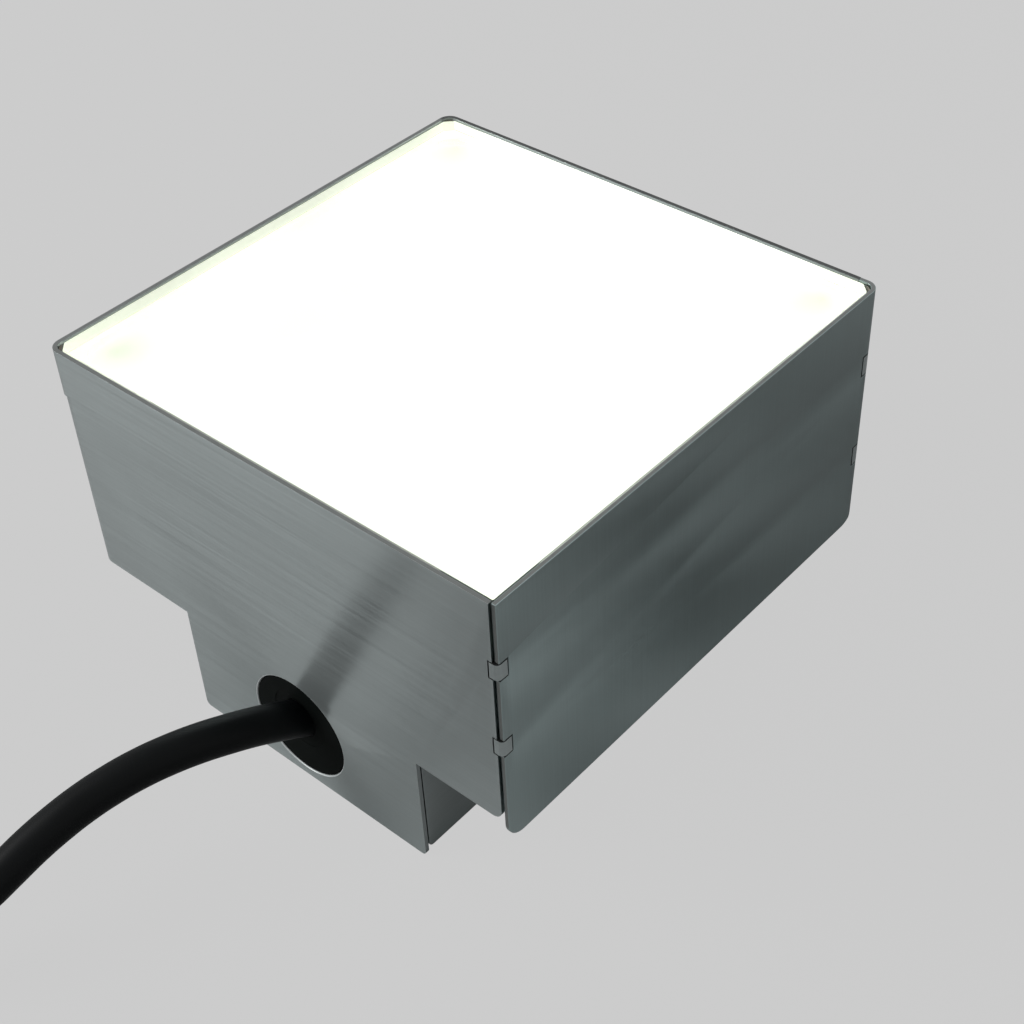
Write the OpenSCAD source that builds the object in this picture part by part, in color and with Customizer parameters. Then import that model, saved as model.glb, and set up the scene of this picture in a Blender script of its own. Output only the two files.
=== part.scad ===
/* [Shell] */
// Width and depth of the square top, over the sheet
shell_w = 98; // [90:1:120]
// Height from the foot to the top rim
shell_h = 70; // [66:1:90]
// Thickness of the steel sheet
sheet_t = 0.8; // [0.6:0.1:1]
// Outer radius of the upright bends
bend_r = 2.4; // [1.8:0.1:3]
// Outer radius of the front left bend below its step
low_bend_r = 3.2; // [2.4:0.1:3.6]
// Depth of that step below the rim
bend_step_drop = 9.2; // [7:0.2:9.4]
// Depth of the front, left and rear walls below the rim
arm_drop = 46.5; // [43:0.5:47]
// Depth of the right side plate below the rim
side_drop = 51; // [44:0.5:56]
// Width of the foot
foot_w = 55; // [50:0.5:60]
// How far the foot stands off the middle, towards the side plate
foot_shift = 2.2; // [0:0.1:4]
// Corner radius at the free lower ends of the arms
arm_corner_r = 2; // [0.5:0.5:4]
// Radius of the foot's lower corners
foot_corner_r = 1; // [0.4:0.2:2]
// Radius of the side plate's lower front corner
side_corner_r = 3.5; // [1:0.5:6]
// Radius of the side plate's lower rear corner
side_rear_r = 4.5; // [1:0.5:6]
// Open seam between two sheets
seam_gap = 0.3; // [0.2:0.05:0.5]
// How far the side plate's front edge stands behind the front face
side_setback = 0.35; // [0.2:0.05:0.6]
// Flat length of the side plate's return behind its rear bend
return_l = 1.2; // [0.8:0.1:3]

/* [Corner brackets] */
// Length of each leg of the angle inside the corner
bracket_leg = 5.5; // [4.5:0.1:6]
// Thickness of the bracket
bracket_t = 0.8; // [0.6:0.1:1]
// Height of one bridge that shows on the front corner
front_bridge_h = 3.1; // [2.6:0.1:4]
// Height of one bridge that shows on the rear corner
rear_bridge_h = 3.8; // [3:0.1:4.4]
// Depth of the upper bridge on the front corner, below the rim
front_upper_drop = 11.8; // [11:0.1:14]
// Depth of the lower bridge on the front corner
front_lower_drop = 28; // [22:0.5:34]
// Depth of the upper bridge on the rear corner
rear_upper_drop = 13.2; // [11:0.1:14]
// Depth of the lower bridge on the rear corner
rear_lower_drop = 33; // [24:0.5:36]
// Reach of a front bridge on the front face
front_reach = 1.7; // [1.6:0.1:3]
// Reach of a front bridge on the side plate
side_reach = 2.1; // [1.8:0.1:3]
// Reach of a rear bridge on the side plate and on the rear wall
rear_reach = 3.1; // [2.9:0.1:4]
// Slot left open at the end of a bridge
bridge_slot = 0.25; // [0.2:0.05:0.6]
// Gap left open above and below a bridge
bridge_gap = 0.25; // [0.2:0.05:0.7]

/* [Top glass and light] */
// Depth of the glass below the rim
glass_recess = 0.2; // [0.1:0.1:1]
// Thickness of the glass
glass_t = 5; // [3:0.5:6]
// Cut of the glass's three corners that lie in a bend
glass_cut = 1.6; // [1.4:0.1:4]
// Width of the sealant round the glass
sealant_w = 0.25; // [0.2:0.05:0.6]
// Thickness of the flat gasket under the glass
gasket_t = 0.5; // [0.3:0.1:1]
// Width of the white frame round the lit window
frame_rim = 1.4; // [1.2:0.1:3]
// Height of the white frame
frame_h = 3.4; // [3:0.1:5]
// Corner radius of the lit window
window_r = 6.5; // [5:0.5:10]
// Thickness of the opal diffuser
diffuser_t = 2; // [1.5:0.1:2.2]
// Lamps along each side of the board
led_rows = 4; // [2:1:6]
// Thickness of the lamp board
led_board_t = 1.6; // [1:0.1:2]
// Height of the reflector tray
tray_h = 11.3; // [9:0.1:12]
// Wall and floor of the reflector tray
tray_wall = 1.2; // [0.8:0.1:1.6]
// Thickness of the heat plate
heat_plate_t = 3; // [2:0.5:4]

/* [Housing] */
// Wall of the black housing
housing_wall = 2.2; // [1.6:0.1:2.6]
// Floor of the shoulders
housing_floor = 2.5; // [2:0.1:3]
// Height of the shoulders' underside above the arms' lower edge
shoulder_rise = 2; // [1:0.5:4]
// How far the housing's foot ends above the ground
housing_lift = 1.5; // [1:0.1:2]
// Depth of the resin in the foot
resin_h = 6.5; // [4:0.5:8]
// Diameter of a post under the heat plate
post_d = 8; // [6:0.5:9]

/* [Cable entry] */
// Diameter of the round hole in the front sheet
hole_d = 21; // [18:0.5:22]
// Height of the hole's centre above the ground
hole_z = 12.3; // [12.3:0.1:14]
// How far the hole's centre lies off the middle, towards the side plate
hole_x = 1.2; // [0:0.1:3]
// Clearance of the housing's boss in that hole
boss_gap = 0.15; // [0.1:0.05:0.3]
// Diameter of the rubber seal
seal_d = 12; // [10:0.5:13]
// Outer diameter of the cable
cable_d = 6.7; // [6:0.1:7.4]
// Diameter of one core of the cable
core_d = 2.3; // [1.8:0.1:2.5]
// Radius of the coil's outermost turn, at the middle of the cable
coil_r = 41.5; // [40:0.5:46]

/* [Hidden] */

// Overrun of every cut
cut = 1;
// Smoothness of round things
$fn = 48;

// Places worked out from the shell
half = shell_w / 2;
inner_half = half - sheet_t;
inner_bend_r = bend_r - sheet_t;
arm_z = shell_h - arm_drop;
side_z = shell_h - side_drop;
front_end_x = inner_half - seam_gap;
return_x = half - bend_r - return_l;
rear_end_x = return_x - seam_gap;

// Foot plates, set in between the front and rear walls
foot_plate_gap = 0.45;
foot_plate_lift = 0.9;
foot_plate_corner_r = 1;
foot_plate_inset = 0.2;

// Fit of the inner parts against the sheet
housing_gap = 0.1;
corner_room = 0.55;
housing_half = inner_half - housing_gap;
housing_inner = housing_half - housing_wall;
housing_cut = bracket_leg + corner_room;
housing_inner_cut = housing_cut - housing_wall * (2 - sqrt(2));
foot_plate_x = foot_w / 2 - foot_plate_inset;
housing_foot_x = foot_plate_x - sheet_t - housing_gap;
housing_foot_inner = housing_foot_x - housing_wall;
shoulder_z = arm_z + shoulder_rise;
shoulder_top = shoulder_z + housing_floor;
rib_t = 1;

// Light stack, from the glass downwards
fit_gap = 0.1;
glass_top = shell_h - glass_recess;
glass_z = glass_top - glass_t;
glass_half = inner_half - sealant_w;
frame_top = glass_z - gasket_t;
frame_z = frame_top - frame_h;
frame_gap = 0.25;
frame_corner_r = 3;
frame_half = inner_half - frame_gap;
window_half = frame_half - frame_rim;
frame_lip = 0.8;
diffuser_ledge = 0.6;
diffuser_top = frame_top - frame_lip;
diffuser_z = diffuser_top - diffuser_t;
tray_top = diffuser_z;
tray_z = tray_top - tray_h;
tray_half = housing_inner - 2 * fit_gap;
tray_corner_r = 9;
board_top = tray_z;
board_z = board_top - led_board_t;
board_half = tray_half - 2 * tray_wall;
board_corner_r = 3;
plate_z = board_z - heat_plate_t;
plate_half = housing_inner - 3 * fit_gap;
plate_cut = housing_inner_cut + fit_gap;
housing_top = frame_z - fit_gap;
sealant_inset = 0.4;
pad_drop = 0.3;
glass_seam_cut = 0.2;
bend_corners = [[-1, -1], [-1, 1], [1, 1]];

// Lamps and screws
led_w = 3.5;
led_h = 1;
led_hole_d = 6.4;
post_inset = 6.5;
post_place = board_half - post_inset;
led_post_gap = 5.6;
led_reach = post_place - led_post_gap;
led_pitch = 2 * led_reach / (led_rows - 1);
screw_d = 3;
screw_hole_d = 3.4;
screw_pilot_d = 3.1;
screw_l = 10;
screw_head_d = 5.5;
screw_head_h = 2;
head_hole_d = 7;

// Corner brackets
bracket_gap = 0.05;
bracket_top_drop = 0.5;
bracket_rise = 2;
bracket_half = inner_half - bracket_gap;
bridge_t = 0.6;
bridge_foot_t = 0.7;
bridge_foot_l = half - bracket_half + bracket_t / 2;
front_bridge_r = 0.8;
bracket_front_r = 0.4;

// Where the cable leaves the seal, and the way it points there
exit_point = [1.5, -48.6, 14.4];
exit_turn = 3;
exit_rise = 33;
exit_depth = 3;
seal_bore_gap = 0.06;

// Cable entry
boss_recess = 0.15;
boss_d = hole_d - 2 * boss_gap;
boss_face = -half + boss_recess;
boss_inner_l = 4;
seal_recess = 0.05;
seal_flange_t = 2;
seal_flange_d = 16;
collar_l = 4;
collar_d = 18;
lead_l = 12;
seal_back = half - housing_inner + boss_inner_l;
core_pitch = 2.35;
core_run = 14;

// Driver board on the resin, with what stands on it. A share is of the board's length, from its front.
driver_z = housing_lift + resin_h;
driver_t = 1.6;
driver_top = driver_z + driver_t;
driver_side_gap = 3;
driver_front_gap = 14;
driver_w = 2 * (housing_foot_inner - driver_side_gap);
driver_front = -housing_inner + driver_front_gap;
driver_l = 2 * housing_inner - driver_front_gap - driver_side_gap;
terminal_w = 12;
terminal_l = 8;
terminal_front = -half + seal_back + seal_flange_t + lead_l + core_run;
terminal_h = exit_point[2] + core_d - driver_top;
transformer_w = 16;
transformer_l = 14;
transformer_h = 13;
transformer_leg = 3;
transformer_yoke = 2.6;
winding_gap = 0.1;
transformer_x = -10;
transformer_share = 0.575;
transformer_y = driver_front + transformer_share * driver_l;
capacitor_d = 8;
capacitor_h = 12;
capacitor_x = 14;
capacitor_share = 0.455;
capacitor_y = driver_front + capacitor_share * driver_l;
capacitor_pitch = 10;
chip_w = 6;
chip_l = 5;
chip_h = 1.8;
chip_pitch = 9;
lead_d = 1.6;
lead_hole_d = 3;
lead_pitch = 6;
lead_share = 0.906;
lead_y = driver_front + lead_share * driver_l;
chip_share = 0.786;
chip_y = driver_front + chip_share * driver_l;

// Coil of the unseen length, on the ground outside the view
coil_x = 8.5;
coil_y = -180;
coil_layers = 2;
coil_layer_turns = 2;
coil_play = 0.1;
coil_h = coil_layers * cable_d;
coil_outer_r = coil_r + cable_d / 2;
coil_inner_r = coil_outer_r - cable_d - coil_layer_turns * (cable_d + coil_play);
lead_in_l = 24;
end_run = 1.5;
tie_t = 1;
tie_angle = 15;
tie_turn = 20;
tie_side_gap_angle = 0.3;

exit_dir = [
    -sin(exit_turn) * cos(exit_rise),
    -cos(exit_turn) * cos(exit_rise),
    sin(exit_rise)
];
cable_start = exit_point - exit_depth * exit_dir;

// The cable's route, from inside the seal to the coil
ground_z = cable_d / 2;
cable_points = [
    [1.15, -53, 16.95], [0.3, -57.55, 19], [-0.9, -62.3, 20.45], [-2.4, -67.05, 21.35],
    [-4.1, -71.85, 21.6], [-5.75, -76.65, 21.4], [-7.25, -81.45, 20.75], [-8.6, -86.25, 19.7],
    [-9.65, -91.05, 18.4], [-10.5, -95.85, 16.85], [-11.05, -100.6, 15.2], [-11.7, -105.35, 13.45],
    [-12.9, -109.95, 11.7], [-14.65, -114.4, 9.95], [-16.9, -118.65, 8.3], [-19.55, -122.7, 6.75],
    [-22.4, -126.7, 5.4], [-25.25, -130.75, 4.35], [-27.9, -135.05, 3.65], [-30.15, -139.6, 3.35],
    [-31.75, -144.45, 3.35], [-32.7, -149.4, 3.35]
];
cable_route = concat(
    [cable_start, exit_point], cable_points,
    [
        [coil_x - coil_r, coil_y + lead_in_l + end_run, ground_z],
        [coil_x - coil_r, coil_y + lead_in_l, ground_z]
    ]
);
tail_points = [
    [-33, -209, 8.8], [-33.1, -213, 6.6], [-33.5, -217, 4.8], [-34.2, -221, 3.7],
    [-35, -224.5, 3.35], [-35.7, -227.5, 3.35]
];
tail_route = concat(
    [
        [coil_x - coil_r, coil_y - lead_in_l, coil_h - ground_z],
        [coil_x - coil_r, coil_y - lead_in_l - end_run, coil_h - ground_z]
    ],
    tail_points
);

// Bare cores, each with a ferrule, splayed on the ground
core_points = [
    [[-39.4, -235, 2.4], [-42.6, -240, 1.2], [-45, -245, 1.2]],
    [[-37, -235.5, 1.2], [-38.1, -241.5, 1.2], [-38.6, -247, 1.2]],
    [[-34.6, -235.5, 2.4], [-33.2, -241, 1.2], [-31.4, -246.2, 1.2]]
];
core_turns = [30, 270, 150];
core_ring_r = 1.4;
core_straight_l = 3;
ferrule_d = 2.3;
ferrule_l = 8;

// Square outline with a radius of its own on each corner, named from the front left round the right
module plan(reach, front_left = 0, front_right = 0, rear_right = 0, rear_left = 0) {
    difference() {
        square(2 * reach, center = true);
        corner_cut(reach, front_left, -1, -1);
        corner_cut(reach, front_right, 1, -1);
        corner_cut(reach, rear_right, 1, 1);
        corner_cut(reach, rear_left, -1, 1);
    }
}

// What a radius takes off one corner of a square
module corner_cut(reach, r, side_x, side_y) {
    if (r > 0)
        scale([side_x, side_y])
            translate([reach - r, reach - r])
                difference() {
                    square(r + cut);
                    circle(r);
                }
}

// Square outline with its corners cut at 45 degrees, the one at the open seam by an amount of its own
module cut_plan(reach, corner, seam_corner) {
    near = reach - corner;
    seam = reach - seam_corner;
    polygon([
        [-near, -reach], [seam, -reach], [reach, -seam], [reach, near],
        [near, reach], [-near, reach], [-reach, near], [-reach, -near]
    ]);
}

// Cutter for the lower right corner of a wall that faces the front
module wall_corner_cut(x, z, r) {
    translate([x - r, 0, z + r])
        rotate([90, 0, 0])
            linear_extrude(shell_w + 2 * cut, center = true)
                scale([1, -1])
                    difference() {
                        square(r + cut);
                        circle(r);
                    }
}

// Openings in the sheets for one bridge, at a depth below the rim
module bridge_window(drop, bridge_h, reach_x, reach_y, side_y) {
    translate([
        half - reach_x - bridge_slot,
        side_y > 0 ? half - reach_y - bridge_slot : -half - cut,
        shell_h - drop - bridge_h - bridge_gap
    ])
        cube([
            reach_x + bridge_slot + cut,
            reach_y + bridge_slot + cut,
            bridge_h + 2 * bridge_gap
        ]);
}

module all_windows() {
    for (drop = [front_upper_drop, front_lower_drop])
        bridge_window(drop, front_bridge_h, front_reach, side_reach, -1);
    for (drop = [rear_upper_drop, rear_lower_drop])
        bridge_window(drop, rear_bridge_h, rear_reach, rear_reach, 1);
}

// Upright walls of the whole shell between two heights
module shell_walls(z, top, left_r) {
    translate([0, 0, z])
        linear_extrude(top - z)
            difference() {
                plan(half, left_r, 0, bend_r, bend_r);
                plan(inner_half, left_r - sheet_t, 0, inner_bend_r, inner_bend_r);
            }
}

// One sheet bent twice: front wall, left wall and rear wall, the front and rear with their foot
module wrap_sheet() {
    color("#8a908f")
    difference() {
        union() {
            shell_walls(0, shell_h - bend_step_drop, low_bend_r);
            shell_walls(shell_h - bend_step_drop, shell_h, bend_r);
        }
        translate([front_end_x, -half - cut, -cut])
            cube([shell_w, shell_w + 2 * cut, shell_h + 2 * cut]);
        translate([rear_end_x, 0, -cut])
            cube([shell_w, half + cut, shell_h + 2 * cut]);
        translate([foot_shift, 0, 0])
            for (side = [-1, 1]) {
                translate([side * (foot_w + shell_w) / 2, 0, (arm_z - cut) / 2])
                    cube([shell_w, shell_w + 2 * cut, arm_z + cut], center = true);
                scale([side, 1, 1])
                    wall_corner_cut(foot_w / 2, 0, foot_corner_r);
            }
        intersection() {
            wall_corner_cut(front_end_x, arm_z, arm_corner_r);
            translate([0, -shell_w, 0]) cube([shell_w, shell_w, shell_h]);
        }
        intersection() {
            wall_corner_cut(rear_end_x, arm_z, arm_corner_r);
            cube([shell_w, shell_w, shell_h]);
        }
        translate([hole_x, 0, hole_z])
            rotate([90, 0, 0])
                cylinder(h = shell_w, d = hole_d);
        all_windows();
    }
}

// Separate right side plate, with its rear edge returned round the corner
module side_plate() {
    color("#6d7473")
    difference() {
        intersection() {
            shell_walls(side_z, shell_h, bend_r);
            union() {
                translate([inner_half, -half + side_setback, 0])
                    cube([sheet_t, shell_w - side_setback, shell_h]);
                translate([return_x, half - bend_r, 0])
                    cube([bend_r + return_l, bend_r, shell_h]);
            }
        }
        plate_corner_cut(-1, half - side_setback, side_corner_r);
        plate_corner_cut(1, half, side_rear_r);
        all_windows();
    }
}

// Cutter for one lower corner of the side plate
module plate_corner_cut(side_y, reach, r) {
    translate([0, side_y * (reach - r), side_z + r])
        rotate([90, 0, 90])
            linear_extrude(shell_w)
                scale([side_y, -1])
                    difference() {
                        square(r + cut);
                        circle(r);
                    }
}

// Flat plate down one side of the foot
module foot_plate(side) {
    plate_l = shell_w - 2 * (sheet_t + foot_plate_gap);
    plate_h = shoulder_z - fit_gap - foot_plate_lift;
    color("#5c6362")
    translate([foot_shift + side * (foot_plate_x - sheet_t / 2), 0, foot_plate_lift + plate_h / 2])
        rotate([90, 0, 90])
            linear_extrude(sheet_t, center = true)
                difference() {
                    square([plate_l, plate_h], center = true);
                    for (end = [-1, 1])
                        scale([end, -1])
                            translate([plate_l, plate_h] / 2 - [1, 1] * foot_plate_corner_r)
                                difference() {
                                    square(foot_plate_corner_r + cut);
                                    circle(foot_plate_corner_r);
                                }
                }
}

// Angle inside one corner, with two bridges that come out through the sheets
module corner_bracket(side_y, drops, bridge_h, reach_x, reach_y, outer_r, angle_r) {
    z = shoulder_z + bracket_rise;
    top = frame_z - bracket_top_drop;
    color("#878e8d")
    scale([1, side_y, 1]) {
        translate([0, 0, z])
            linear_extrude(top - z)
                bracket_plan(bracket_half, bracket_t, bracket_leg, bracket_leg, angle_r);
        for (drop = drops)
            translate([0, 0, shell_h - drop - bridge_h])
                linear_extrude(bridge_h) {
                    bracket_plan(half, bridge_t, reach_x, reach_y, outer_r);
                    translate([half - reach_x, half - bridge_foot_l])
                        square([bridge_foot_t, bridge_foot_l]);
                    translate([half - bridge_foot_l, half - reach_y])
                        square([bridge_foot_l, bridge_foot_t]);
                }
    }
}

// Angle in plan, in the rear right corner of a square
module bracket_plan(reach, thick, leg_x, leg_y, r) {
    deep = half - reach + r + thick;
    intersection() {
        difference() {
            plan(reach, 0, 0, r, 0);
            plan(reach - thick, 0, 0, max(r - thick, 0), 0);
        }
        union() {
            translate([half - leg_x, half - deep]) square([leg_x, deep]);
            translate([half - deep, half - leg_y]) square([deep, leg_y]);
        }
    }
}

module front_corner_bracket() {
    corner_bracket(
        -1, [front_upper_drop, front_lower_drop], front_bridge_h, front_reach, side_reach,
        front_bridge_r, bracket_front_r
    );
}

module rear_corner_bracket() {
    corner_bracket(
        1, [rear_upper_drop, rear_lower_drop], rear_bridge_h, rear_reach, rear_reach,
        bend_r, inner_bend_r - bracket_gap
    );
}

// Toughened clear glass with cut corners
module glass() {
    color("#e9f2e4")
    translate([0, 0, glass_z])
        linear_extrude(glass_t)
            cut_plan(glass_half, glass_cut, glass_seam_cut);
}

// Dark silicone between the glass and the sheet
module edge_sealant() {
    color("#3a3d3c")
    translate([0, 0, glass_z])
        linear_extrude(glass_t - sealant_inset)
            difference() {
                plan(inner_half, inner_bend_r, 0, inner_bend_r, inner_bend_r);
                cut_plan(glass_half, glass_cut, glass_seam_cut);
                for (corner = bend_corners)
                    scale(corner)
                        pad_area(0);
            }
}

// Corner of the recess that the cut glass leaves free
module pad_area(gap) {
    near = glass_half - glass_cut + gap;
    edge = inner_half - sealant_w / 2 - gap;
    polygon([[edge, near + sealant_w + gap], [edge, edge], [near + sealant_w + gap, edge]]);
}

// Brown rubber pads in the glass's cut corners
module glass_corner_pads() {
    color("#7a6248")
    translate([0, 0, glass_z])
        linear_extrude(glass_t - pad_drop)
            intersection() {
                plan(inner_half - fit_gap, inner_bend_r, 0, inner_bend_r, inner_bend_r);
                for (corner = bend_corners)
                    scale(corner)
                        pad_area(seal_recess);
            }
}

// Outline of the lit window, grown by a margin
module window_plan(grow) {
    r = window_r + grow;
    plan(window_half + grow, r, r, r, r);
}

// Flat clear gasket that carries the glass
module glass_gasket() {
    color("#dfe3da")
    translate([0, 0, frame_top])
        linear_extrude(gasket_t)
            difference() {
                cut_plan(glass_half, glass_cut, glass_seam_cut);
                window_plan(0);
            }
}

// White frame round the lit window
module light_frame() {
    r = frame_corner_r;
    color("#eef0e6")
    translate([0, 0, frame_z])
        difference() {
            linear_extrude(frame_h)
                plan(frame_half, r, r, r, r);
            translate([0, 0, -cut])
                linear_extrude(frame_h + 2 * cut)
                    window_plan(0);
            translate([0, 0, -cut])
                linear_extrude(frame_h - frame_lip + cut)
                    window_plan(diffuser_ledge);
        }
}

module diffuser() {
    color("#ffffff")
    translate([0, 0, diffuser_z])
        linear_extrude(diffuser_t)
            window_plan(diffuser_ledge - fit_gap);
}

// Centres of the lamps on the board
led_places = [
    for (row = [0 : led_rows - 1], column = [0 : led_rows - 1])
        [column * led_pitch - led_reach, row * led_pitch - led_reach]
];

// The four posts and their screws
module at_posts() {
    for (side_x = [-1, 1], side_y = [-1, 1])
        translate([side_x * post_place, side_y * post_place, 0])
            children();
}

// White open tray between the lamps and the diffuser
module reflector_tray() {
    r = tray_corner_r;
    inner_r = tray_corner_r - tray_wall;
    inner = tray_half - tray_wall;
    color("#f4f5f0")
    difference() {
        translate([0, 0, tray_z])
            linear_extrude(tray_h)
                plan(tray_half, r, r, r, r);
        translate([0, 0, tray_z + tray_wall])
            linear_extrude(tray_h)
                plan(inner, inner_r, inner_r, inner_r, inner_r);
        translate([0, 0, tray_z - cut])
            for (place = led_places)
                translate(place)
                    cylinder(h = tray_wall + 2 * cut, d = led_hole_d);
        at_posts()
            translate([0, 0, tray_z - cut])
                cylinder(h = tray_wall + 2 * cut, d = head_hole_d);
    }
}

module led_board() {
    r = board_corner_r;
    color("#f1f1ec")
    difference() {
        translate([0, 0, board_z])
            linear_extrude(led_board_t)
                plan(board_half, r, r, r, r);
        at_posts()
            translate([0, 0, board_z - cut])
                cylinder(h = led_board_t + 2 * cut, d = screw_hole_d);
    }
}

// Lamps in a square grid
module leds() {
    color("#f2e27a")
    for (place = led_places)
        translate([place[0], place[1], board_top + led_h / 2])
            cube([led_w, led_w, led_h], center = true);
}

module board_screws() {
    color("#b9bcbc")
    at_posts() {
        translate([0, 0, board_top])
            cylinder(h = screw_head_h, d = screw_head_d);
        translate([0, 0, board_top - screw_l])
            cylinder(h = screw_l, d = screw_d);
    }
}

// Aluminium plate under the board, with a slot for the leads
module heat_plate() {
    color("#b4b8ba")
    difference() {
        translate([0, 0, plate_z])
            linear_extrude(heat_plate_t)
                cut_plan(plate_half, plate_cut, plate_cut);
        at_posts()
            translate([0, 0, plate_z - cut])
                cylinder(h = heat_plate_t + 2 * cut, d = screw_hole_d);
        translate([foot_shift, lead_y, plate_z - cut])
            linear_extrude(heat_plate_t + 2 * cut)
                for (side = [-1, 1])
                    translate([side * lead_pitch / 2, 0])
                        circle(d = lead_hole_d);
    }
}

// Leads from the driver up to the lamp board
module led_leads() {
    color("#c03a30")
    for (side = [-1, 1])
        translate([foot_shift + side * lead_pitch / 2, lead_y, driver_top])
            cylinder(h = board_z - driver_top, d = lead_d);
}

// Square upper moulding of the black housing, with its posts, clear of the cable entry
module housing_tub() {
    opening_x = housing_foot_inner + rib_t + fit_gap;
    color("#1d1f1f")
    difference() {
        translate([0, 0, shoulder_z])
            linear_extrude(housing_top - shoulder_z)
                cut_plan(housing_half, housing_cut, housing_cut);
        difference() {
            translate([0, 0, shoulder_top])
                linear_extrude(shell_h)
                    cut_plan(housing_inner, housing_inner_cut, housing_inner_cut);
            at_posts()
                translate([0, 0, shoulder_z])
                    cylinder(h = plate_z - shoulder_z, d = post_d);
        }
        translate([foot_shift - opening_x, -housing_inner, 0])
            cube([2 * opening_x, 2 * housing_inner, shoulder_top + cut]);
        at_posts()
            translate([0, 0, board_top - screw_l - cut])
                cylinder(h = shell_h, d = screw_pilot_d);
        seal_axis()
            cylinder(h = seal_back + seal_flange_t + collar_l, d = collar_d + 2 * fit_gap);
    }
}

// Narrow lower moulding of the housing, with the cable boss and a rib up into the tub on each side
module housing_foot() {
    color("#1d1f1f")
    difference() {
        union() {
            translate([foot_shift - housing_foot_x, -housing_half, housing_lift])
                cube([2 * housing_foot_x, 2 * housing_half, shoulder_z - housing_lift]);
            translate([hole_x, boss_face, hole_z])
                rotate([-90, 0, 0])
                    cylinder(h = half - boss_recess - housing_half + cut, d = boss_d);
            translate([
                foot_shift - housing_foot_inner - rib_t,
                fit_gap - housing_inner,
                shoulder_z - cut
            ])
                cube([
                    2 * (housing_foot_inner + rib_t),
                    2 * (housing_inner - fit_gap),
                    housing_floor + cut
                ]);
        }
        difference() {
            translate([foot_shift - housing_foot_inner, -housing_inner, 0])
                cube([2 * housing_foot_inner, 2 * housing_inner, shell_h]);
            seal_axis()
                cylinder(h = half - housing_inner + boss_inner_l, d = collar_d);
        }
        seal_axis()
            translate([0, 0, -cut])
                cylinder(h = shell_w / 2, d = seal_d);
    }
}

// Turns a shape so that its Z runs inwards along the seal, from the front face
module seal_axis() {
    translate([exit_point[0], -half, exit_point[2]])
        rotate([-90, 0, 0])
            children();
}

// Rubber seal with a flange inside and a slanted bore for the cable
module cable_seal() {
    color("#151717")
    difference() {
        seal_axis() {
            translate([0, 0, boss_recess + seal_recess])
                cylinder(h = seal_back - boss_recess - seal_recess, d = seal_d);
            translate([0, 0, seal_back])
                cylinder(h = seal_flange_t, d = seal_flange_d);
        }
        along_exit()
            cylinder(h = shell_w / 2, d = cable_d + 2 * seal_bore_gap);
    }
}

// Turns a shape so that its Z follows the cable out of the seal
module along_exit() {
    translate(cable_start)
        rotate([0, 0, -exit_turn])
            rotate([90 - exit_rise, 0, 0])
                children();
}

// Ring that holds the seal's flange against the boss
module seal_collar() {
    color("#2a2c2c")
    seal_axis()
        translate([0, 0, seal_back + seal_flange_t])
            difference() {
                cylinder(h = collar_l, d = collar_d);
                translate([0, 0, -cut])
                    cylinder(h = collar_l + 2 * cut, d = cable_d + 2 * fit_gap);
            }
}

// End of the cable's sheath inside the housing
module inner_lead() {
    color("#191b1b")
    seal_axis()
        translate([0, 0, seal_back + seal_flange_t])
            cylinder(h = lead_l, d = cable_d);
}

// Three cores from the sheath to the terminals
module inner_cores() {
    color("#6a4a34")
    for (step = [-1, 0, 1])
        seal_axis()
            translate([step * core_pitch, 0, seal_back + seal_flange_t + lead_l])
                cylinder(h = core_run, d = core_d);
}

module terminal_block() {
    color("#3c6e4a")
    translate([exit_point[0] - terminal_w / 2, terminal_front, driver_top])
        cube([terminal_w, terminal_l, terminal_h]);
}

module driver_board() {
    color("#2f6b45")
    translate([foot_shift - driver_w / 2, driver_front, driver_z])
        cube([driver_w, driver_l, driver_t]);
}

// Square core with its winding between the yokes
module transformer() {
    color("#54504a")
    translate([foot_shift + transformer_x, transformer_y, driver_top]) {
        difference() {
            translate([-transformer_w / 2, -transformer_l / 2, 0])
                cube([transformer_w, transformer_l, transformer_h]);
            translate([transformer_leg - transformer_w / 2, -transformer_l / 2 - cut, transformer_yoke])
                cube([
                    transformer_w - 2 * transformer_leg,
                    transformer_l + 2 * cut,
                    transformer_h - 2 * transformer_yoke
                ]);
        }
        translate([0, 0, transformer_yoke])
            cylinder(
                h = transformer_h - 2 * transformer_yoke,
                d = transformer_w - 2 * (transformer_leg + winding_gap)
            );
    }
}

module capacitors() {
    color("#243a5e")
    for (step = [0, 1])
        translate([foot_shift + capacitor_x, capacitor_y + step * capacitor_pitch, driver_top])
            cylinder(h = capacitor_h, d = capacitor_d);
}

module driver_chips() {
    color("#202222")
    for (step = [-1, 0, 1])
        translate([foot_shift + step * chip_pitch, chip_y, driver_top + chip_h / 2])
            cube([chip_w, chip_l, chip_h], center = true);
}

// Cast resin that closes the foot from below
module potting_resin() {
    color("#26282a")
    difference() {
        translate([foot_shift - housing_foot_inner, -housing_inner, housing_lift])
            cube([2 * housing_foot_inner, 2 * housing_inner, resin_h]);
        seal_axis()
            cylinder(h = seal_back + seal_flange_t + collar_l, d = collar_d);
    }
}

module foot_plate_left() { foot_plate(-1); }
module foot_plate_right() { foot_plate(1); }

// Tube swept along a list of points
function unit(v) = v / norm(v);
function way(route, i) = unit(route[min(i + 1, len(route) - 1)] - route[max(i - 1, 0)]);
function side_of(dir) = unit(cross(dir, [0, 0, 1]));
function ring(route, i, r, sides) =
    let (dir = way(route, i), across = side_of(dir), up = cross(across, dir))
    [for (k = [0 : sides - 1]) route[i] + r * (cos(360 * k / sides) * across + sin(360 * k / sides) * up)];

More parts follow.
